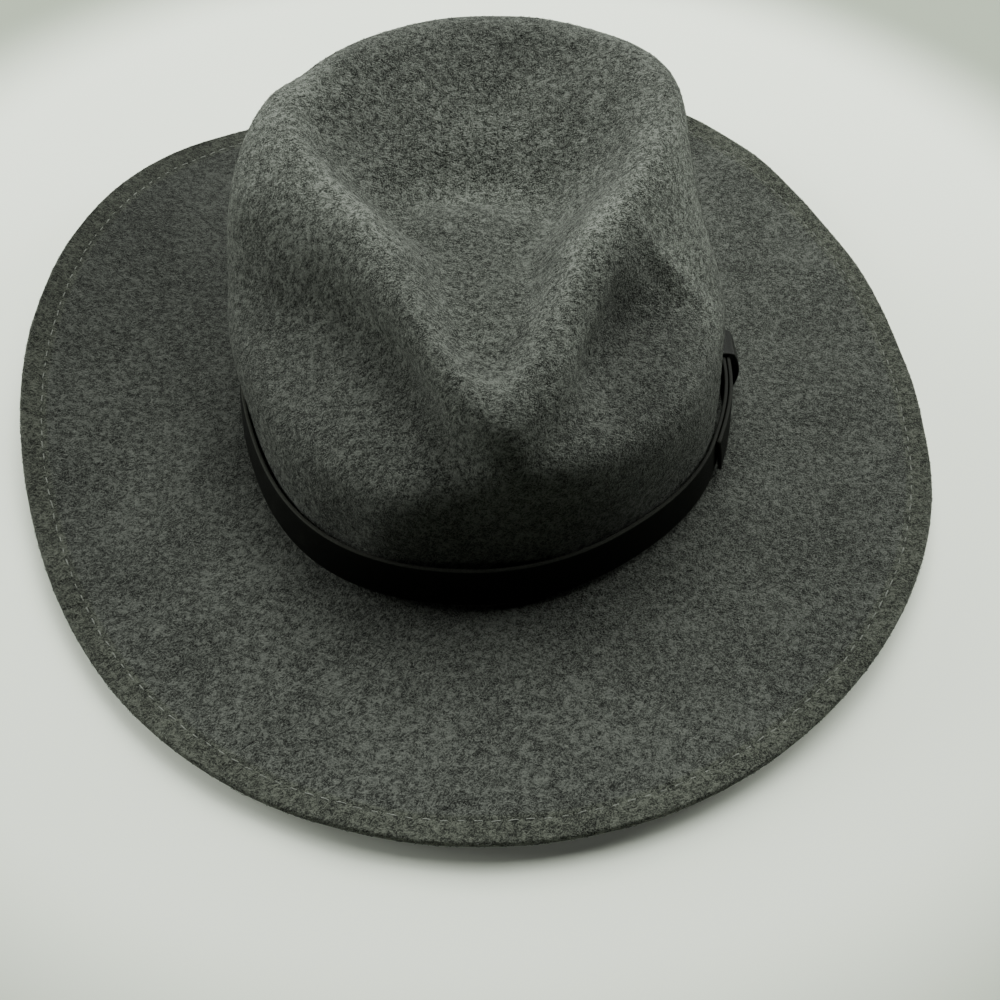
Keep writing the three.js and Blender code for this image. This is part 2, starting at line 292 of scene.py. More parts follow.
def crown_rings(row_place, angle):
    """Reach and height of the rings from the brim's break up to the middle of the dent."""
    _, belly, belly_up, pinch, pinch_up, brow, brow_up, crest, crest_up, dent = read_round(CROWN, row_place).T
    foot = foot_reach(angle)
    dent_up = DENT_UP - DENT_SWELL - DENT_TILT * dent * np.sin(angle)
    lip = LIP_SHARE * crest - LIP_WIDTH
    level = np.ones_like(angle)
    wall_up = mix(dent_up, crest_up, DENT_WALL_SHARE) - DENT_WALL_SAG
    rings = [
        (foot + BREAK_FLARE, BREAK_UP * level),
        (foot + FOOT_FLARE, FOOT_UP * level),
        (foot - STRAP_LINE_TUCK, STRAP_LINE_UP * level),
        (belly, belly_up),
        (pinch, pinch_up),
        (brow, brow_up),
        (crest, crest_up),
        (lip, crest_up - LIP_DROP),
        (mix(dent, lip, DENT_WALL_SHARE), wall_up),
        (dent, dent_up),
        (dent / 2, mix(DENT_UP, dent_up, DENT_MIDDLE_SHARE)),
        (0 * level, DENT_UP * level),
    ]
    return np.array(rings).transpose(0, 2, 1)


def read_rings(rings, ring_place):
    """Points along the rings at one fractional ring place."""
    last = len(rings) - 1
    ring = min(int(ring_place), last - 1)
    before = rings[ring - 1] if ring > 0 else 2 * rings[0] - rings[1]
    after = rings[ring + 2] if ring + 2 <= last else 2 * rings[last] - rings[last - 1]
    return between(before, rings[ring], rings[ring + 1], after, ring_place - ring)


def around(angle, reach, up):
    return np.stack([reach * np.cos(angle), reach * np.sin(angle), up + 0 * angle], -1)


def normals(rings):
    """Outward normals of a grid of rings that runs from the crown's middle to the brim's edge."""
    outward = np.gradient(rings, axis=0)
    onward = np.roll(rings, -1, 1) - np.roll(rings, 1, 1)
    normal = np.cross(outward, onward)
    return normal / np.linalg.norm(normal, axis=-1, keepdims=True)


def soft_waves(points, random):
    """The slow unevenness of hand-blocked felt, as heights in millimetres."""
    height = np.zeros(points.shape[:-1])
    for _ in range(WAVE_COUNT):
        direction = random.normal(size=3)
        direction /= np.linalg.norm(direction)
        pitch = random.uniform(*WAVE_LENGTHS)
        phase = random.uniform(0, 2 * math.pi)
        height += np.sin(points @ direction * 2 * math.pi / pitch + phase)
    return WAVE_HEIGHT * height


def soft_spots(table, ring_rows, angle):
    """The sum of soft spots, each a row of ring and its spread, angle and its spread, and amount."""
    total = np.zeros((len(ring_rows), len(angle)))
    for ring_middle, ring_spread, turn_middle, turn_spread, amount in table:
        away = np.mod(np.degrees(angle) - turn_middle + 180, 360) - 180
        apart = ((ring_rows - ring_middle) / ring_spread) ** 2 + (away / turn_spread) ** 2
        total += amount * np.exp(-apart)
    return total


def to_frame(points):
    return (np.asarray(points) + PLAN_SHIFT) * MM


def new_piece(name, points, faces):
    """A smooth mesh object from points in millimetres."""
    mesh = bpy.data.meshes.new(name)
    mesh.from_pydata(to_frame(points).tolist(), [], faces)
    mesh.validate()
    mesh.shade_smooth()
    piece = bpy.data.objects.new(name, mesh)
    bpy.context.scene.collection.objects.link(piece)
    return piece


def shell_faces(row_count, column_count):
    """Quads between rings, and fans to the first and last point, for points ordered pole, rings, pole."""
    faces = []
    last_point = 1 + row_count * column_count
    for column in range(column_count):
        beside = (column + 1) % column_count
        faces.append((0, 1 + column, 1 + beside))
        end = 1 + (row_count - 1) * column_count
        faces.append((last_point, end + beside, end + column))
        for row in range(row_count - 1):
            here = 1 + row * column_count
            after = here + column_count
            faces.append((here + column, after + column, after + beside, here + beside))
    return faces


random = np.random.default_rng(FELT_SEED)
row_place = np.arange(FELT_COLUMNS) * len(CROWN) / FELT_COLUMNS
angle = crown_angle(row_place)
crown = crown_rings(row_place, angle)
ring_places = np.arange((len(crown) - 1) * CROWN_STEPS - 1, -1, -1) / CROWN_STEPS
crown_face = []
for ring_place in ring_places:
    reach, up = read_rings(crown, ring_place).T
    crown_face.append(around(angle, reach, up))

inner_reach = foot_reach(angle) + BREAK_FLARE
outer_reach = edge_reach(angle)
brim_width = outer_reach - inner_reach
brim_insets = [mix(brim_width, HEM_FINE, share) for share in np.linspace(0, 1, BRIM_ROWS + 1)[1:]]
hem_insets = np.linspace(HEM_FINE, EDGE_ROUND, HEM_ROWS + 1)[1:]
brim_insets += [np.full(FELT_COLUMNS, inset) for inset in hem_insets]
brim_face = []
for inset in brim_insets:
    out = 1 - inset / brim_width
    up = BREAK_UP + (read_brim(angle)[0] - BREAK_UP) * out ** BRIM_CURVE
    groove = STITCH_GROOVE * np.exp(-((inset - STITCH_LINE) / STITCH_GROOVE_WIDTH) ** 2)
    brim_face.append(around(angle, outer_reach - inset, up - groove))

felt_face = np.array(crown_face + brim_face)
felt_normal = normals(felt_face)
# The waves fade out beside the brim's root, where the strap holds the felt to its round
from_root = np.linalg.norm(felt_face - crown_face[-1], axis=-1)
waves = soft_waves(felt_face, random) * (1 - np.exp(-(from_root / ROOT_CALM) ** 2))
felt_face = felt_face + felt_normal * waves[..., None]
ring_rows = np.concatenate([ring_places, np.zeros(len(brim_insets))])[:, None]
felt_face = felt_face + felt_normal * soft_spots(PUSHED, ring_rows, angle)[..., None]
felt_normal = normals(felt_face)
inset_rows = np.array([np.full(FELT_COLUMNS, np.inf)] * len(crown_face) + brim_insets)
hem_share = np.clip((HEM_WIDTH + HEM_STEP - inset_rows) / HEM_STEP, 0, 1)
felt_thick = mix(FELT_THICK, HEM_THICK, hem_share)
felt_lining = felt_face - felt_normal * felt_thick[..., None]
felt_lining[..., 2] = np.maximum(felt_lining[..., 2], 0)
# Towards the brim's edge the underside comes to lie straight below the top, where the rounded edge closes it
straight_below = np.clip(1 - inset_rows / HEM_FINE, 0, 1)[..., None]
felt_lining[..., :2] = mix(felt_lining[..., :2], felt_face[..., :2], straight_below)

felt_edge = []
top, bottom = felt_face[-1], felt_lining[-1]
for turn in np.linspace(0, math.pi, EDGE_STEPS + 1)[1:-1]:
    height = (top[:, 2] + bottom[:, 2] + (top[:, 2] - bottom[:, 2]) * math.cos(turn)) / 2
    felt_edge.append(around(angle, outer_reach - EDGE_ROUND * (1 - math.sin(turn)), height))

lining_rows = felt_lining[::-1][::LINING_STEP]
felt_rings = np.concatenate([felt_face, np.array(felt_edge), lining_rows])
top_pole = (0, 0, felt_face[0, :, 2].mean())
low_pole = (0, 0, lining_rows[-1, :, 2].mean())
felt_points = np.concatenate([[top_pole], felt_rings.reshape(-1, 3), [low_pole]])
felt = new_piece("felt", felt_points, shell_faces(len(felt_rings), FELT_COLUMNS))


def felt_layer(name, face_rows, edge_value):
    """Keeps one number for every point of the felt, from its values on the outer face."""
    edge_rows = np.full((len(felt_edge), FELT_COLUMNS), edge_value)
    rows = np.concatenate([face_rows, edge_rows, face_rows[::-1][::LINING_STEP]])
    layer = felt.data.attributes.new(name, "FLOAT", "POINT")
    values = np.concatenate([rows[:1].mean(1), rows.ravel(), rows[-1:].mean(1)])
    layer.data.foreach_set("value", values.astype(np.float32))


felt_layer("hem", hem_share, 1.0)
# Painted light and shade for the felt: paler on the crown's top, plus the painted spots of light and shade
top_share = np.clip((ring_rows - TOP_PAINTED_LIGHT_RINGS[0]) / (TOP_PAINTED_LIGHT_RINGS[1] - TOP_PAINTED_LIGHT_RINGS[0]), 0, 1)
felt_layer("painted_light", TOP_PAINTED_LIGHT * top_share + soft_spots(PAINTED_LIGHT_SPOTS, ring_rows, angle), 0.0)

# The felt's finish. Dark wool with pale fibres felted in: fine specks, small worm-like tufts a few
# millimetres long, and slow cloudy patches where the nap lies differently. Painted light and shade scale it.
SPECK_SIZE = 0.0007
TUFT_SIZE = 0.0022
CLOUD_SIZE = 0.028
SPECK_WEIGHT = 2.7
TUFT_WEIGHT = 3.1
CLOUD_WEIGHT = 1.0
WORM_LENGTH = 0.0030
WORM_WIDTH = 0.00042
WORM_TURNS = (
    (0.2, 0.5, 0.1), (1.1, 0.2, 0.9), (0.4, 1.3, 2.0), (2.3, 0.7, 1.5), (1.7, 2.1, 0.4),
)
WORM_THIN = (0.58, 0.72)
WORM_RELIEF = 0.6
WORM_SHARE = 0.72
WARP_SIZE = 0.006
WARP_REACH = 0.0022
WOOL_DARK = (0.0045, 0.0053, 0.0042, 1)
WOOL_MIDDLE = (0.0258, 0.0284, 0.0246, 1)
WOOL_PALE = (0.090, 0.096, 0.086, 1)
WORM_PALE = (0.130, 0.138, 0.123, 1)
HEM_TINT = (0.97, 0.98, 0.90, 1)
FELT_ROUGHNESS = 0.95
FELT_SPECULAR = 0.12
FELT_SHEEN = 0.06
FELT_SHEEN_ROUGHNESS = 0.6
FELT_BUMP = {"Strength": 0.7, "Distance": 0.0006}


def add(tree, kind, values=None, **settings):
    """A shader node with its settings and the values of its sockets."""
    made = tree.nodes.new(kind)
    for setting, value in settings.items():
        setattr(made, setting, value)
    for socket, value in (values or {}).items():
        made.inputs[socket].default_value = value
    return made


def make_heather():
    """Heather felt: dark wool with pale worm-like tufts, small specks and slow cloudy patches, brightened and
    darkened by the painted light and shade given in.
    """
    tree = bpy.data.node_groups.new("heather_felt", "ShaderNodeTree")
    tree.interface.new_socket("Hem", in_out="INPUT", socket_type="NodeSocketFloat")
    tree.interface.new_socket("Painted_Light", in_out="INPUT", socket_type="NodeSocketFloat")
    tree.interface.new_socket("Color", in_out="OUTPUT", socket_type="NodeSocketColor")
    tree.interface.new_socket("Height", in_out="OUTPUT", socket_type="NodeSocketFloat")
    link = tree.links.new
    given = add(tree, "NodeGroupInput")
    result = add(tree, "NodeGroupOutput")
    where = add(tree, "ShaderNodeTexCoord").outputs["Object"]

    warp = add(tree, "ShaderNodeTexNoise", {"Scale": 1 / WARP_SIZE, "Detail": 2})
    link(where, warp.inputs["Vector"])
    centred = add(tree, "ShaderNodeVectorMath", {1: (0.5, 0.5, 0.5)}, operation="SUBTRACT")
    link(warp.outputs["Color"], centred.inputs[0])
    pushed = add(tree, "ShaderNodeVectorMath", {"Scale": WARP_REACH}, operation="SCALE")
    link(centred.outputs[0], pushed.inputs[0])
    bent = add(tree, "ShaderNodeVectorMath", operation="ADD")
    link(where, bent.inputs[0])
    link(pushed.outputs[0], bent.inputs[1])

    worms = None
    for turn in WORM_TURNS:
        stretch = add(tree, "ShaderNodeMapping", {
            "Rotation": turn, "Scale": (WORM_LENGTH, WORM_WIDTH, WORM_WIDTH)}, vector_type="TEXTURE")
        link(bent.outputs[0], stretch.inputs["Vector"])
        strand = add(tree, "ShaderNodeTexNoise", {"Scale": 1.0, "Detail": 1})
        link(stretch.outputs[0], strand.inputs["Vector"])
        thin = add(tree, "ShaderNodeMapRange", {"From Min": WORM_THIN[0], "From Max": WORM_THIN[1]})
        link(strand.outputs["Fac"], thin.inputs["Value"])
        if worms is None:
            worms = thin.outputs[0]
        else:
            joined = add(tree, "ShaderNodeMath", operation="MAXIMUM")
            link(worms, joined.inputs[0])
            link(thin.outputs[0], joined.inputs[1])
            worms = joined.outputs[0]

    tone = None
    for size, weight in ((SPECK_SIZE, SPECK_WEIGHT), (TUFT_SIZE, TUFT_WEIGHT), (CLOUD_SIZE, CLOUD_WEIGHT)):
        cloud = add(tree, "ShaderNodeTexNoise", {"Scale": 1 / size, "Detail": 3, "Roughness": 0.6})
        link(bent.outputs[0], cloud.inputs["Vector"])
        part = add(tree, "ShaderNodeMath", {1: weight, 2: -weight / 2}, operation="MULTIPLY_ADD")
        link(cloud.outputs["Fac"], part.inputs[0])
        if tone is None:
            tone = part.outputs[0]
        else:
            summed = add(tree, "ShaderNodeMath", operation="ADD")
            link(tone, summed.inputs[0])
            link(part.outputs[0], summed.inputs[1])
            tone = summed.outputs[0]

    wool = add(tree, "ShaderNodeValToRGB")
    ramp = wool.color_ramp
    ramp.elements[0].position, ramp.elements[0].color = 0.0, WOOL_DARK
    ramp.elements[1].position, ramp.elements[1].color = 1.0, WOOL_PALE
    ramp.elements.new(0.5).color = WOOL_MIDDLE
    shifted = add(tree, "ShaderNodeMath", {1: 0.5}, operation="ADD")
    link(tone, shifted.inputs[0])
    link(shifted.outputs[0], wool.inputs["Fac"])

    wormed = add(tree, "ShaderNodeMix", data_type="RGBA")
    wormed.inputs[MIX_B].default_value = WORM_PALE
    worm_share = add(tree, "ShaderNodeMath", {1: WORM_SHARE}, operation="MULTIPLY")
    link(worms, worm_share.inputs[0])
    link(worm_share.outputs[0], wormed.inputs["Factor"])
    link(wool.outputs["Color"], wormed.inputs[MIX_A])

    # Painted light and shade: the colour is scaled by one plus the painted light, paler above nought and
    # darker below
    paler = add(tree, "ShaderNodeMath", {1: 1.0}, operation="ADD")
    link(given.outputs["Painted_Light"], paler.inputs[0])
    painted_light_tone = add(tree, "ShaderNodeVectorMath", operation="SCALE")
    link(wormed.outputs[MIX_OUT], painted_light_tone.inputs[0])
    link(paler.outputs[0], painted_light_tone.inputs["Scale"])

    hemmed = add(tree, "ShaderNodeMix", data_type="RGBA", blend_type="MULTIPLY")
    hemmed.inputs[MIX_B].default_value = HEM_TINT
    link(given.outputs["Hem"], hemmed.inputs["Factor"])
    link(painted_light_tone.outputs[0], hemmed.inputs[MIX_A])
    link(hemmed.outputs[MIX_OUT], result.inputs["Color"])

    height = add(tree, "ShaderNodeMath", {1: WORM_RELIEF}, operation="MULTIPLY_ADD")
    link(worms, height.inputs[0])
    link(tone, height.inputs[2])
    link(height.outputs[0], result.inputs["Height"])
    return tree


heather = make_heather()
felt_finish = bpy.data.materials.new("heather_felt")
felt_finish.use_nodes = True
felt_tree = felt_finish.node_tree
felt_shader = felt_tree.nodes["Principled BSDF"]
felt_shader.inputs["Roughness"].default_value = FELT_ROUGHNESS
felt_shader.inputs["Specular IOR Level"].default_value = FELT_SPECULAR
felt_shader.inputs["Sheen Weight"].default_value = FELT_SHEEN
felt_shader.inputs["Sheen Roughness"].default_value = FELT_SHEEN_ROUGHNESS
felt_wool = add(felt_tree, "ShaderNodeGroup", node_tree=heather)
felt_hem = add(felt_tree, "ShaderNodeAttribute", attribute_name="hem")
# The felt's painted light and shade, kept on its points
felt_painted_light = add(felt_tree, "ShaderNodeAttribute", attribute_name="painted_light")
felt_bump = add(felt_tree, "ShaderNodeBump", FELT_BUMP)
felt_tree.links.new(felt_hem.outputs["Fac"], felt_wool.inputs["Hem"])
felt_tree.links.new(felt_painted_light.outputs["Fac"], felt_wool.inputs["Painted_Light"])
felt_tree.links.new(felt_wool.outputs["Color"], felt_shader.inputs["Base Color"])
felt_tree.links.new(felt_wool.outputs["Height"], felt_bump.inputs["Height"])
felt_tree.links.new(felt_bump.outputs["Normal"], felt_shader.inputs["Normal"])
felt.data.materials.append(felt_finish)
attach(felt, "root")
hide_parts("felt_body")

# Hem stitches: one row of machine lockstitch in light grey thread, sewn through the turned hem and sunk a
# little in the felt. The same row shows on the top of the brim and on its underside.
STITCH_PITCH = 5.0
STITCH_LENGTH = 3.7
STITCH_SWAY = 0.22
THREAD_RADIUS = 0.20
THREAD_SINK = 0.75
THREAD_PROUD = (-0.22, 0.08)
THREAD_RINGS = 9
THREAD_SIDES = 8
THREAD_SEED = 21
THREAD_COLOR = (0.17, 0.18, 0.16, 1)
THREAD_TWIST = 0.0007
THREAD_ARCH = 0.4
THREAD_LOWEST = 0.02
THREAD_ROUGHNESS = 0.7
THREAD_SHEEN = 0.15
THREAD_SHADE = 0.45
THREAD_PLIES = (0.3, 0.7)
THREAD_BUMP = {"Strength": 0.6, "Distance": 0.0001}
STITCH_SPREADS = (0.88, 1.08)


def rows_at(face, rows_in, inset):
    """The ring of a brim face at one distance in from the edge."""
    order = np.argsort(rows_in)
    spots = np.interp(inset, rows_in[order], np.arange(len(order)))
    low = int(spots)
    ring = face[order]
    return mix(ring[low], ring[min(low + 1, len(ring) - 1)], spots - low)


def even_walk(ring, pitch):
    """Even steps along a closed ring: the share of the way round at each stitch, and the ring's length."""
    closed = np.concatenate([ring, ring[:1]])
    length = np.concatenate([[0], np.cumsum(np.linalg.norm(np.diff(closed, axis=0), axis=1))])
    count = round(length[-1] / pitch)
    return closed, length, np.arange(count) * length[-1] / count


def read_walk(closed, values, length, place):
    place = np.mod(place, length[-1])
    return np.stack([np.interp(place, length, values[:, axis]) for axis in range(3)], -1)


def tube_faces(rings, sides, start):
    """Faces of a closed tube whose points are pole, rings, pole, from one first index on."""
    faces = []
    last = start + 1 + rings * sides
    for side in range(sides):
        beside = (side + 1) % sides
        faces.append((start, start + 1 + beside, start + 1 + side))
        end = start + 1 + (rings - 1) * sides
        faces.append((last, end + side, end + beside))
        for ring in range(rings - 1):
            here = start + 1 + ring * sides
            faces.append((here + side, here + beside, here + sides + beside, here + sides + side))
    return faces


random = np.random.default_rng(THREAD_SEED)
brim_rows = slice(len(crown_face), None)
row_insets = inset_rows[brim_rows].mean(1)
thread_points, thread_faces = [], []
for face, way in ((felt_face[brim_rows], 1), (felt_lining[brim_rows], -1)):
    line = rows_at(face, row_insets, STITCH_LINE)
    closed_normal = rows_at(felt_normal[brim_rows], row_insets, STITCH_LINE) * way
    closed_normal = np.concatenate([closed_normal, closed_normal[:1]])
    closed, length, starts = even_walk(line, STITCH_PITCH)
    for start in starts:
        along = np.linspace(-0.5, 0.5, THREAD_RINGS + 2)
        spread = STITCH_LENGTH * random.uniform(*STITCH_SPREADS)
        middle = read_walk(closed, closed, length, start + along * spread)
        normal = read_walk(closed, closed_normal, length, start + along * spread)
        normal /= np.linalg.norm(normal, axis=1, keepdims=True)
        tangent = np.gradient(middle, axis=0)
        tangent /= np.linalg.norm(tangent, axis=1, keepdims=True)
        across = np.cross(tangent, normal)
        rise = random.uniform(*THREAD_PROUD) + THREAD_RADIUS * THREAD_ARCH
        rise = rise - THREAD_SINK * np.abs(2 * along) ** 4
        aside, slant = random.uniform(-STITCH_SWAY, STITCH_SWAY), random.uniform(-STITCH_SWAY, STITCH_SWAY)
        sway = aside + slant * 2 * along
        middle = middle + normal * rise[:, None] + across * sway[:, None]
        turn = np.linspace(0, 2 * math.pi, THREAD_SIDES, endpoint=False)
        sideways = np.cos(turn)[None, :, None] * across[1:-1, None]
        ring = sideways + np.sin(turn)[None, :, None] * normal[1:-1, None]
        rings = middle[1:-1, None] + THREAD_RADIUS * ring
        first = sum(len(block) for block in thread_points)
        thread_points.append(np.concatenate([middle[:1], rings.reshape(-1, 3), middle[-1:]]))
        thread_faces += tube_faces(THREAD_RINGS, THREAD_SIDES, first)
thread_points = np.concatenate(thread_points)
thread_points[:, 2] = np.maximum(thread_points[:, 2], THREAD_LOWEST)
stitches = new_piece("hem_stitches", thread_points, thread_faces)

thread_finish = bpy.data.materials.new("hem_thread")
thread_finish.use_nodes = True
thread_tree = thread_finish.node_tree
thread_shader = thread_tree.nodes["Principled BSDF"]
thread_shader.inputs["Roughness"].default_value = THREAD_ROUGHNESS
thread_shader.inputs["Sheen Weight"].default_value = THREAD_SHEEN
thread_where = add(thread_tree, "ShaderNodeTexCoord")
thread_ply = add(thread_tree, "ShaderNodeTexNoise", {"Scale": 1 / THREAD_TWIST, "Detail": 2})
thread_tone = add(thread_tree, "ShaderNodeValToRGB")
thread_tone.color_ramp.elements[0].position = THREAD_PLIES[0]
thread_tone.color_ramp.elements[0].color = tuple(THREAD_SHADE * part for part in THREAD_COLOR[:3]) + (1,)
thread_tone.color_ramp.elements[1].position = THREAD_PLIES[1]
thread_tone.color_ramp.elements[1].color = THREAD_COLOR
thread_bump = add(thread_tree, "ShaderNodeBump", THREAD_BUMP)
thread_tree.links.new(thread_where.outputs["Object"], thread_ply.inputs["Vector"])
thread_tree.links.new(thread_ply.outputs["Fac"], thread_tone.inputs["Fac"])
thread_tree.links.new(thread_tone.outputs["Color"], thread_shader.inputs["Base Color"])
thread_tree.links.new(thread_ply.outputs["Fac"], thread_bump.inputs["Height"])
thread_tree.links.new(thread_bump.outputs["Normal"], thread_shader.inputs["Normal"])
stitches.data.materials.append(thread_finish)
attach(stitches, "root")

# Felt nap: loose wool fibres that stand a little off the felt, pale ones and some dark, bent and lying in
# every direction. They are rooted in the outer face of the crown and of the brim, thickest on the edge.
FIBRE_COUNTS = (("crown_nap", 13500), ("brim_nap", 14000))
FIBRE_LENGTHS = (1.2, 5.0)
FIBRE_RADII = (0.045, 0.095)
FIBRE_BEND = 0.7
FIBRE_LIFTS = (0.04, 0.28)
FIBRE_ROOT = 0.12
FIBRE_SEED = 33
FIBRE_DARK_SHARE = 0.35
FIBRE_PALE = (0.110, 0.117, 0.106, 1)
FIBRE_DARK = (0.006, 0.007, 0.005, 1)
EDGE_FIBRE_SHARE = 0.10
FIBRE_SHORTEST = 0.5
FIBRE_TAPER = (1.0, 0.9, 0.45)
FIBRE_TUCKED_SHARE = 0.5
FIBRE_LOWEST = 0.01
FIBRE_DARK_TONES = (0.0, 0.25)
FIBRE_PALE_TONES = (0.45, 1.0)
FIBRE_ROUGHNESS = 0.85
FIBRE_SPECULAR = 0.2
FIBRE_MOTTLE_SIZE = 1 / 900
FIBRE_MOTTLE = 0.3

nap_finish = bpy.data.materials.new("loose_wool")
nap_finish.use_nodes = True
nap_tree = nap_finish.node_tree
nap_shader = nap_tree.nodes["Principled BSDF"]
nap_shader.inputs["Roughness"].default_value = FIBRE_ROUGHNESS
nap_shader.inputs["Specular IOR Level"].default_value = FIBRE_SPECULAR
nap_tone = add(nap_tree, "ShaderNodeAttribute", attribute_name="tone")
nap_ramp = add(nap_tree, "ShaderNodeValToRGB")
nap_ramp.color_ramp.elements[0].color = FIBRE_DARK
nap_ramp.color_ramp.elements[1].color = FIBRE_PALE
nap_cloud = add(nap_tree, "ShaderNodeTexNoise", {"Scale": 1 / FIBRE_MOTTLE_SIZE, "Detail": 1})
nap_where = add(nap_tree, "ShaderNodeTexCoord")
nap_vary = add(nap_tree, "ShaderNodeMath", {1: FIBRE_MOTTLE, 2: -FIBRE_MOTTLE / 2}, operation="MULTIPLY_ADD")
nap_sum = add(nap_tree, "ShaderNodeMath", operation="ADD")
nap_tree.links.new(nap_where.outputs["Object"], nap_cloud.inputs["Vector"])
nap_tree.links.new(nap_cloud.outputs["Fac"], nap_vary.inputs[0])
nap_tree.links.new(nap_tone.outputs["Fac"], nap_sum.inputs[0])
nap_tree.links.new(nap_vary.outputs[0], nap_sum.inputs[1])
nap_tree.links.new(nap_sum.outputs[0], nap_ramp.inputs["Fac"])
nap_tree.links.new(nap_ramp.outputs["Color"], nap_shader.inputs["Base Color"])

edge_rows = np.array(felt_edge)
outer_shell = np.concatenate([felt_face, edge_rows])
shell_normal = normals(outer_shell)
felt_faces = [tuple(face.vertices) for face in felt.data.polygons]
felt_surface = BVHTree.FromPolygons(felt_points.tolist(), felt_faces)
random = np.random.default_rng(FIBRE_SEED)
crown_rows = len(crown_face)


def spread_over(shell, first, last, count, edge_share):
    """Random places on a band of shell rows, even by area, with an extra share on the last rows."""
    quads = shell[first:last + 1]
    side_a = np.linalg.norm(np.diff(quads, axis=0), axis=-1)
    side_b = np.linalg.norm(np.roll(quads, -1, 1) - quads, axis=-1)[:-1]
    weight = side_a * side_b
    weight /= weight.sum()
    if edge_share:
        weight *= 1 - edge_share
        edge_part = weight[-EDGE_STEPS - 2:]
        edge_part += edge_share / edge_part.size
    picked = random.choice(weight.size, count, p=weight.ravel() / weight.sum())
    row, column = np.divmod(picked, shell.shape[1])
    share_row, share_column = random.random((2, count, 1))
    row = row + first
    beside = (column + 1) % shell.shape[1]
    near = mix(shell[row, column], shell[row, beside], share_column)
    far = mix(shell[row + 1, column], shell[row + 1, beside], share_column)
    return mix(near, far, share_row), shell_normal[row, column]


def lay_fibres(name, roots, root_normals):
    """Thin three-sided fibres, each bent once, that follow the felt from their roots."""
    count = len(roots)
    lengths = random.uniform(*FIBRE_LENGTHS, count) * random.uniform(FIBRE_SHORTEST, 1, count)
    radii = random.uniform(*FIBRE_RADII, count)
    heading = random.normal(size=(count, 3))
    heading -= (heading * root_normals).sum(1, keepdims=True) * root_normals
    heading /= np.linalg.norm(heading, axis=1, keepdims=True)
    aside = np.cross(root_normals, heading)
    bend = random.uniform(-FIBRE_BEND, FIBRE_BEND, count)[:, None]
    turned = heading * np.cos(bend) + aside * np.sin(bend)
    spots = [roots, roots + heading * lengths[:, None] / 2]
    spots.append(spots[1] + turned * lengths[:, None] / 2)
    rooted = np.full(count, -FIBRE_ROOT)
    lifts = [rooted, random.uniform(*FIBRE_LIFTS, count), random.uniform(*FIBRE_LIFTS, count)]
    lifts[2] = np.where(random.random(count) < FIBRE_TUCKED_SHARE, rooted, lifts[2])
    nodes, ups = [], []
    for spot, lift in zip(spots, lifts):
        placed, up = np.empty_like(spot), np.empty_like(spot)
        for index, place in enumerate(spot):
            found, normal, _, _ = felt_surface.find_nearest(place.tolist())
            placed[index], up[index] = found, normal
        nodes.append(placed + up * lift[:, None])
        ups.append(up)
    points = np.empty((count, 3, 3, 3))
    for step in range(3):
        way = nodes[min(step + 1, 2)] - nodes[max(step - 1, 0)]
        side = np.cross(way, ups[step])
        side /= np.linalg.norm(side, axis=1, keepdims=True) + 1e-9
        narrow = radii * FIBRE_TAPER[step]
        for corner in range(3):
            turn = 2 * math.pi * corner / 3 + math.pi / 2
            offset = side * math.cos(turn) + ups[step] * math.sin(turn)
            points[:, step, corner] = nodes[step] + offset * narrow[:, None]
    points = points.reshape(-1, 3)
    points[:, 2] = np.maximum(points[:, 2], FIBRE_LOWEST)
    pattern = [(2, 1, 0), (6, 7, 8)]
    for step in (0, 3):
        for corner in range(3):
            beside = (corner + 1) % 3
            pattern.append((step + corner, step + beside, step + 3 + beside, step + 3 + corner))
    faces = [tuple(9 * index + corner for corner in face) for index in range(count) for face in pattern]
    piece = new_piece(name, points, faces)
    dark = random.random(count) < FIBRE_DARK_SHARE
    tone = np.where(dark, random.uniform(*FIBRE_DARK_TONES, count), random.uniform(*FIBRE_PALE_TONES, count))
    layer = piece.data.attributes.new("tone", "FLOAT", "POINT")
    layer.data.foreach_set("value", np.repeat(tone, 9).astype(np.float32))
    piece.data.materials.append(nap_finish)
    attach(piece, "root")
    return piece


for (nap_name, nap_count), (first, last, edge_share) in zip(
        FIBRE_COUNTS, ((0, crown_rows - 1, 0), (crown_rows - 1, len(outer_shell) - 1, EDGE_FIBRE_SHARE))):
    lay_fibres(nap_name, *spread_over(outer_shell, first, last, nap_count, edge_share))

# Strap: a black leather band, cut about 17 mm wide, that goes once round the crown's foot. Its free end
# laps over the start and runs forward through the keeper. The cut edges are left bare, so they are paler;
# near the keeper they are painted darker, as painted shade.
STRAP_THICK = 1.4
STRAP_LOW = 4.6
STRAP_HIGH = 21.4
STRAP_FLARE = 2.2
STRAP_OFF_FELT = 0.5
LAYER_GAP = 0.3
STRAP_FREE_END = -27.0
STRAP_OUTER_TO = 28.0
STRAP_INNER_FROM = 46.0
STRAP_HIDDEN_END = 378.0
STRAP_END_RUN = 16.0
STRAP_END_SLANT = 3.0
STRAP_END_LEAN = 0.6
KEEPER_AT = 3.3
KEEPER_LIFT = 2.3
KEEPER_LIFT_FULL = 8.0
KEEPER_LIFT_NONE = 30.0
STRAP_STEPS = 540
STRAP_CORNER = 0.5
STRAP_CORNER_STEPS = 4
STRAP_FACE_STEPS = 8
STRAP_CUP = 0.18
LEATHER_BLACK = (0.0020, 0.0023, 0.0017, 1)
LEATHER_WORN = (0.007, 0.0078, 0.006, 1)
CUT_EDGE = (0.060, 0.062, 0.054, 1)
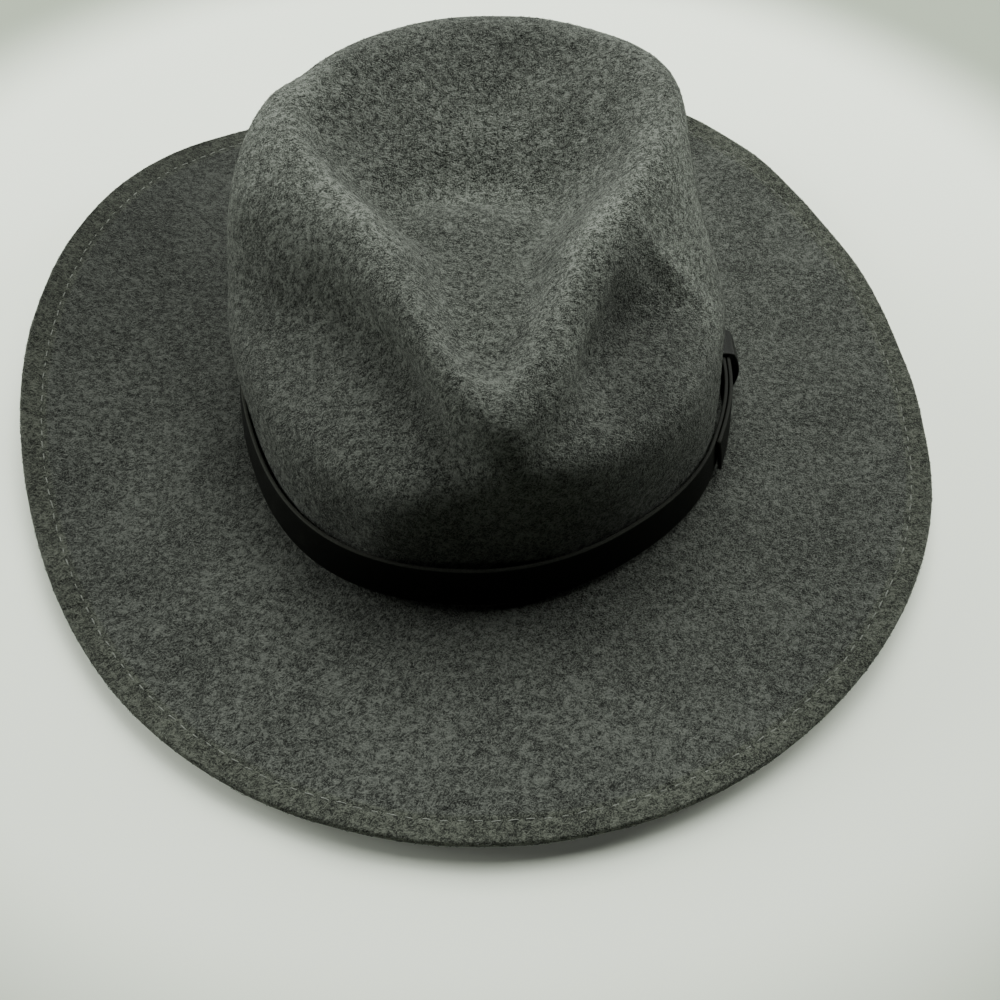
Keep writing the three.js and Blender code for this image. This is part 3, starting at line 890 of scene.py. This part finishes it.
# Painted shade: how pale the bare cut edges stay near the keeper, and over which degrees from it this fades
EDGE_PAINTED_SHADE = 0.25
EDGE_DARK_TURN = (32, 60)
GRAIN_SIZE = 0.0009
SCUFF_SIZE = 1 / 120
SCUFF_EDGES = (0.55, 0.75)
HIDE_FIBRE_SIZE = 1 / 2600
SATIN_ROUGHNESS = (0.46, 0.14)
CUT_ROUGHNESS = 0.9
HIDE_FIBRE_RELIEF = 0.35
LEATHER_BUMP = {"Strength": 0.35, "Distance": 0.00012}
STRAP_SPECULAR = 0.10
CORNER_BARE = 0.7
STRAP_SEED = 5


def smooth_share(value, low, high):
    share = np.clip((value - low) / (high - low), 0, 1)
    return share * share * (3 - 2 * share)


def strap_reach(degrees):
    """The strap's inner face along its run, with room for the keeper's back and for the layer below."""
    away = np.abs(np.mod(degrees - KEEPER_AT + 180, 360) - 180)
    lift = KEEPER_LIFT * (1 - smooth_share(away, KEEPER_LIFT_FULL, KEEPER_LIFT_NONE))
    outer_layer = 1 - smooth_share(degrees, STRAP_OUTER_TO, STRAP_INNER_FROM)
    return foot_reach(np.radians(degrees)) + STRAP_OFF_FELT + lift + (STRAP_THICK + LAYER_GAP) * outer_layer


def strap_lean(up):
    """The strap lies on the curve of the crown's foot, so its lower edge stands further out."""
    return STRAP_FLARE * ((STRAP_LOW + STRAP_HIGH) / 2 - up) / (STRAP_HIGH - STRAP_LOW)


def rounded_section(width, height, radius, corner_steps, face_steps):
    """Points round a rectangle with rounded corners: across and up."""
    points = []
    corners = ((1, -1, -90), (1, 1, 0), (-1, 1, 90), (-1, -1, 180))
    for sign_x, sign_y, start in corners:
        for turn in np.radians(np.linspace(start, start + 90, corner_steps + 1)):
            x = sign_x * (width / 2 - radius) + radius * math.cos(turn)
            y = sign_y * (height / 2 - radius) + radius * math.sin(turn)
            points.append((x, y))
        if sign_x == sign_y:
            continue
        for share in np.linspace(0, 1, face_steps + 1)[1:-1]:
            points.append((sign_x * width / 2, sign_y * (height / 2 - radius) * (1 - 2 * share)))
    return np.array(points)


random = np.random.default_rng(STRAP_SEED)
strap_half = (STRAP_HIGH - STRAP_LOW) / 2
section = rounded_section(STRAP_THICK, 2 * strap_half, STRAP_CORNER, STRAP_CORNER_STEPS, STRAP_FACE_STEPS)
strap_degrees = np.linspace(STRAP_FREE_END, STRAP_HIDDEN_END, STRAP_STEPS)
near_end = np.clip(1 - (strap_degrees - STRAP_FREE_END) / STRAP_END_RUN, 0, None)
strap_rings = []
for across, up in section:
    low_share = (1 - up / strap_half) / 2
    slant = np.degrees(STRAP_END_SLANT / strap_reach(strap_degrees)) * near_end * low_share
    cup = STRAP_CUP * (1 - (up / strap_half) ** 2)
    reach = strap_reach(strap_degrees + slant) + STRAP_END_LEAN * near_end * low_share
    reach = reach + STRAP_THICK / 2 + across + cup + strap_lean(STRAP_LOW + strap_half + up)
    strap_rings.append(around(np.radians(strap_degrees + slant), reach, STRAP_LOW + strap_half + up))
strap_rings = np.array(strap_rings).transpose(1, 0, 2)
section_count = len(section)
strap_ends = strap_rings[:1].mean(1), strap_rings[-1:].mean(1)
strap_points = np.concatenate([strap_ends[0], strap_rings.reshape(-1, 3), strap_ends[1]])
strap = new_piece("leather_strap", strap_points, tube_faces(STRAP_STEPS, section_count, 0))
edge_layer = strap.data.attributes.new("cut_edge", "FLOAT", "POINT")
section_edge = (np.abs(section[:, 1]) > strap_half - STRAP_CORNER * CORNER_BARE).astype(float)
# Painted shade: the bare cut edges are painted darker near the keeper, where the strap lies in shade; the
# free end's cut stays pale
from_keeper = np.abs(np.mod(strap_degrees - KEEPER_AT + 180, 360) - 180)
edge_shares = mix(EDGE_PAINTED_SHADE, 1, smooth_share(from_keeper, *EDGE_DARK_TURN))
edge_values = section_edge * edge_shares[:, None]
edge_values[:1] = 1
edge_layer.data.foreach_set("value", np.concatenate([[1], edge_values.ravel(), [1]]).astype(np.float32))


def make_grain():
    """Smooth-finished leather: fine pebbled grain, hair cells and a few scuffs."""
    tree = bpy.data.node_groups.new("leather_grain", "ShaderNodeTree")
    tree.interface.new_socket("Grain Size", in_out="INPUT", socket_type="NodeSocketFloat")
    tree.interface.new_socket("Cut Edge", in_out="INPUT", socket_type="NodeSocketFloat")
    tree.interface.new_socket("Color", in_out="OUTPUT", socket_type="NodeSocketColor")
    tree.interface.new_socket("Roughness", in_out="OUTPUT", socket_type="NodeSocketFloat")
    tree.interface.new_socket("Height", in_out="OUTPUT", socket_type="NodeSocketFloat")
    link = tree.links.new
    given = add(tree, "NodeGroupInput")
    result = add(tree, "NodeGroupOutput")
    where = add(tree, "ShaderNodeTexCoord").outputs["Object"]
    scale = add(tree, "ShaderNodeMath", {0: 1.0}, operation="DIVIDE")
    link(given.outputs["Grain Size"], scale.inputs[1])
    cells = add(tree, "ShaderNodeTexVoronoi", {"Randomness": 0.9}, feature="DISTANCE_TO_EDGE")
    link(where, cells.inputs["Vector"])
    link(scale.outputs[0], cells.inputs["Scale"])
    valleys = add(tree, "ShaderNodeMapRange", {"From Min": 0.0, "From Max": 0.18})
    link(cells.outputs["Distance"], valleys.inputs["Value"])
    scuffs = add(tree, "ShaderNodeTexNoise", {"Scale": 1 / SCUFF_SIZE, "Detail": 5, "Roughness": 0.65})
    link(where, scuffs.inputs["Vector"])
    worn = add(tree, "ShaderNodeMapRange", {"From Min": SCUFF_EDGES[0], "From Max": SCUFF_EDGES[1]})
    link(scuffs.outputs["Fac"], worn.inputs["Value"])
    fibres = add(tree, "ShaderNodeTexNoise", {"Scale": 1 / HIDE_FIBRE_SIZE, "Detail": 3})
    link(where, fibres.inputs["Vector"])

    face = add(tree, "ShaderNodeMix", data_type="RGBA")
    face.inputs[MIX_A].default_value = LEATHER_BLACK
    face.inputs[MIX_B].default_value = LEATHER_WORN
    link(worn.outputs[0], face.inputs["Factor"])
    bare = add(tree, "ShaderNodeMix", data_type="RGBA")
    bare.inputs[MIX_A].default_value = LEATHER_WORN
    bare.inputs[MIX_B].default_value = CUT_EDGE
    link(fibres.outputs["Fac"], bare.inputs["Factor"])
    joined = add(tree, "ShaderNodeMix", data_type="RGBA")
    link(given.outputs["Cut Edge"], joined.inputs["Factor"])
    link(face.outputs[MIX_OUT], joined.inputs[MIX_A])
    link(bare.outputs[MIX_OUT], joined.inputs[MIX_B])
    link(joined.outputs[MIX_OUT], result.inputs["Color"])

    satin_range = {1: SATIN_ROUGHNESS[1], 2: SATIN_ROUGHNESS[0]}
    satin = add(tree, "ShaderNodeMath", satin_range, operation="MULTIPLY_ADD")
    link(scuffs.outputs["Fac"], satin.inputs[0])
    matt = add(tree, "ShaderNodeMix", data_type="FLOAT")
    matt.inputs[3].default_value = CUT_ROUGHNESS
    link(given.outputs["Cut Edge"], matt.inputs["Factor"])
    link(satin.outputs[0], matt.inputs[2])
    link(matt.outputs[0], result.inputs["Roughness"])

    relief = add(tree, "ShaderNodeMath", {1: HIDE_FIBRE_RELIEF}, operation="MULTIPLY_ADD")
    link(fibres.outputs["Fac"], relief.inputs[0])
    link(valleys.outputs[0], relief.inputs[2])
    link(relief.outputs[0], result.inputs["Height"])
    return tree


def leather_finish(name, grain, specular):
    finish = bpy.data.materials.new(name)
    finish.use_nodes = True
    tree = finish.node_tree
    shader = tree.nodes["Principled BSDF"]
    shader.inputs["Specular IOR Level"].default_value = specular
    hide = add(tree, "ShaderNodeGroup", {"Grain Size": GRAIN_SIZE}, node_tree=grain)
    cut = add(tree, "ShaderNodeAttribute", attribute_name="cut_edge")
    bump = add(tree, "ShaderNodeBump", LEATHER_BUMP)
    tree.links.new(cut.outputs["Fac"], hide.inputs["Cut Edge"])
    tree.links.new(hide.outputs["Color"], shader.inputs["Base Color"])
    tree.links.new(hide.outputs["Roughness"], shader.inputs["Roughness"])
    tree.links.new(hide.outputs["Height"], bump.inputs["Height"])
    tree.links.new(bump.outputs["Normal"], shader.inputs["Normal"])
    return finish


leather_grain = make_grain()
strap.data.materials.append(leather_finish("strap_leather", leather_grain, STRAP_SPECULAR))
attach(strap, "root")
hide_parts("hatband")

# Keeper: a narrow loop of the same leather, bent round both layers of the strap beside the crown. Its ends
# meet behind the strap, against the felt, and its outer side stands in a small arch.
KEEPER_WIDTH = 13.0
KEEPER_THICK = 1.3
KEEPER_BACK_OFF_FELT = 1.0
KEEPER_BACK_THICK = 1.1
KEEPER_ARCH = 2.4
KEEPER_CORNER = 0.45
KEEPER_CORNER_STEPS = 3
KEEPER_FACE_STEPS = 8
KEEPER_ROUNDINGS = 3
KEEPER_ARCH_POINTS = 13
KEEPER_BACK_POINTS = 7
KEEPER_CUT_WIDTH = 0.5
# Painted shade: the keeper's bare cut edges are kept only a little paler, as the keeper lies in shade
KEEPER_CUT_BARE = 0.3
KEEPER_SPECULAR = 0.16

keeper_back = float(foot_reach(np.zeros(1))[0]) + KEEPER_BACK_OFF_FELT
keeper_front = float(strap_reach(np.zeros(1))[0]) + STRAP_THICK + LAYER_GAP
back_middle = keeper_back + KEEPER_BACK_THICK / 2
front_middle = keeper_front + KEEPER_THICK / 2
low_middle = STRAP_LOW - LAYER_GAP - KEEPER_THICK / 2
high_middle = STRAP_HIGH + LAYER_GAP + KEEPER_THICK / 2
arch = [(front_middle + KEEPER_ARCH * 4 * share * (1 - share), mix(low_middle, high_middle, share))
        for share in np.linspace(0, 1, KEEPER_ARCH_POINTS)]
back = [(back_middle, mix(high_middle, low_middle, share)) for share in np.linspace(0, 1, KEEPER_BACK_POINTS)]
loop = np.array(back + arch)
loop[:, 0] += strap_lean(loop[:, 1])
for _ in range(KEEPER_ROUNDINGS):
    after = np.roll(loop, -1, 0)
    loop = np.stack([0.75 * loop + 0.25 * after, 0.25 * loop + 0.75 * after], 1).reshape(-1, 2)
loop_way = np.roll(loop, -1, 0) - np.roll(loop, 1, 0)
loop_way /= np.linalg.norm(loop_way, axis=1, keepdims=True)
loop_out = np.stack([loop_way[:, 1], -loop_way[:, 0]], 1)
keeper_section = rounded_section(
    KEEPER_BACK_THICK, KEEPER_WIDTH, KEEPER_CORNER, KEEPER_CORNER_STEPS, KEEPER_FACE_STEPS)
keeper_rings = []
for across, along in keeper_section:
    spot = loop + loop_out * across
    turn = math.radians(KEEPER_AT)
    outward = spot[:, 0] * math.cos(turn) - along * math.sin(turn)
    beside = spot[:, 0] * math.sin(turn) + along * math.cos(turn)
    keeper_rings.append(np.stack([outward, beside, spot[:, 1]], -1))
keeper_rings = np.array(keeper_rings).transpose(1, 0, 2)
loop_count, keeper_sides = keeper_rings.shape[:2]
keeper_faces = []
for ring in range(loop_count):
    here, after = ring * keeper_sides, (ring + 1) % loop_count * keeper_sides
    for side in range(keeper_sides):
        beside = (side + 1) % keeper_sides
        keeper_faces.append((here + side, here + beside, after + beside, after + side))
keeper = new_piece("leather_keeper", keeper_rings.reshape(-1, 3), keeper_faces)
keeper_edge = keeper.data.attributes.new("cut_edge", "FLOAT", "POINT")
keeper_rim = np.abs(keeper_section[:, 1]) > KEEPER_WIDTH / 2 - KEEPER_CORNER * KEEPER_CUT_WIDTH
# Painted shade: the keeper's cut edges get only a small share of the bare edge colour
keeper_cut = keeper_rim * KEEPER_CUT_BARE
keeper_edge.data.foreach_set("value", np.tile(keeper_cut, loop_count).astype(np.float32))
keeper.data.materials.append(leather_finish("keeper_leather", leather_grain, KEEPER_SPECULAR))
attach(keeper, "root")
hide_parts("band_keeper")
